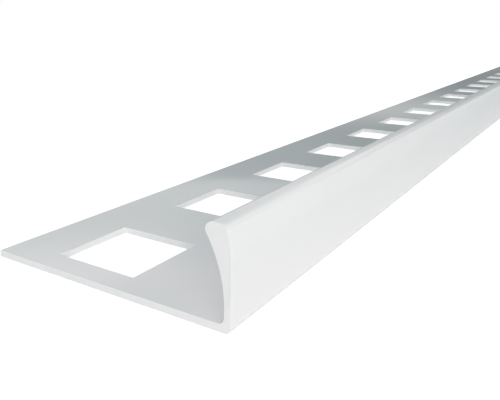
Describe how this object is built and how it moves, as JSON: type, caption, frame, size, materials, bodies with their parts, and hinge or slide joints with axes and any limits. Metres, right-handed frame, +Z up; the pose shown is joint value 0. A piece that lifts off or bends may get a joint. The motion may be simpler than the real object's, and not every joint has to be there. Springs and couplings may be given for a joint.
{
  "type": "tile edge trim",
  "caption": "Straight L-section tile edge trim in white plastic: a thin leg with a row of square holes and an upright wall that flares into a rounded head.",
  "frame": {"origin": "middle of the underside's bounding box, on the floor that the leg lies on", "axes": "+X along the stick, +Y from the visible front face to the leg's free edge, +Z up along the wall"},
  "size_m": [1, 0.031, 0.01],
  "materials": {
    "white_pvc": "satin extruded surface, plain white right through"
  },
  "bodies": {
    "root": {"edge_trim": "white_pvc"}
  },
  "joints": []
}
